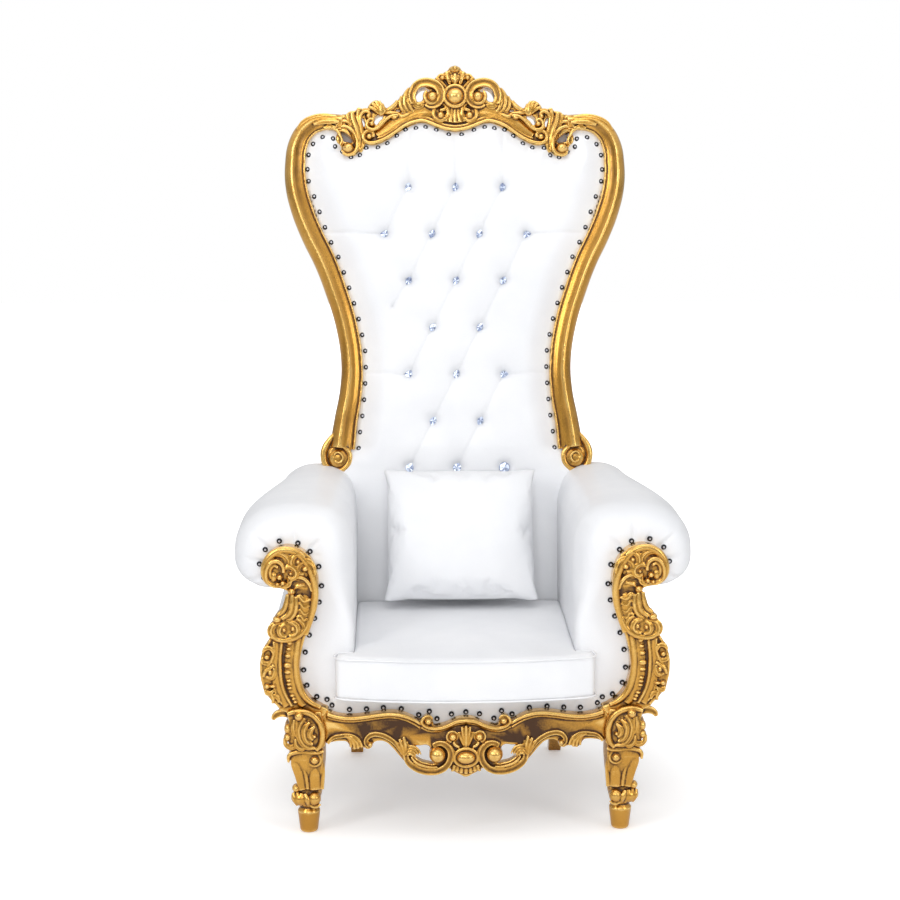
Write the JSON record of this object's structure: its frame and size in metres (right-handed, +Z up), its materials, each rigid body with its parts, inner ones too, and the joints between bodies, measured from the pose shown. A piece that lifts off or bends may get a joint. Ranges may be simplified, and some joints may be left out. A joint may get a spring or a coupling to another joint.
{
  "type": "throne",
  "caption": "High-backed ceremonial armchair with a carved gilded frame, rolled arms and white button-tufted upholstery, with a loose seat cushion and pillow.",
  "frame": {"origin": "on the floor, under the middle of the chair's bounding box", "axes": "+Z up, -Y the way the chair faces, +X to the right of someone facing the chair"},
  "size_m": [1.0884, 0.8294, 1.833],
  "materials": {
    "gilded_wood": "carved wood covered with gold leaf, satin, with brown patina in the hollows",
    "white_leather": "smooth white leather with a soft sheen",
    "crystal": "cut clear crystal, polished",
    "nail_metal": "dark polished metal nail heads"
  },
  "bodies": {
    "root": {"back_stile_right": "gilded_wood", "back_stile_left": "gilded_wood", "crest_rail": "gilded_wood", "arm_front_right": "gilded_wood", "arm_front_left": "gilded_wood", "front_rail": "gilded_wood", "front_leg_right": "gilded_wood", "front_leg_left": "gilded_wood", "rear_leg_right": "gilded_wood", "rear_leg_left": "gilded_wood", "side_rail_right": "gilded_wood", "side_rail_left": "gilded_wood", "back_rail": "gilded_wood", "arm_pad_right": "white_leather", "arm_pad_left": "white_leather", "back_pad": "white_leather", "outside_back": "white_leather", "seat_deck": "white_leather", "seat_cushion": "white_leather", "pillow": "white_leather", "crystal_button_01": "crystal", "crystal_button_02": "crystal", "crystal_button_03": "crystal", "crystal_button_04": "crystal", "crystal_button_05": "crystal", "crystal_button_06": "crystal", "crystal_button_07": "crystal", "crystal_button_08": "crystal", "crystal_button_09": "crystal", "crystal_button_10": "crystal", "crystal_button_11": "crystal", "crystal_button_12": "crystal", "crystal_button_13": "crystal", "crystal_button_14": "crystal", "crystal_button_15": "crystal", "crystal_button_16": "crystal", "crystal_button_17": "crystal", "crystal_button_18": "crystal", "crystal_button_19": "crystal", "crystal_button_20": "crystal"}
  },
  "joints": []
}
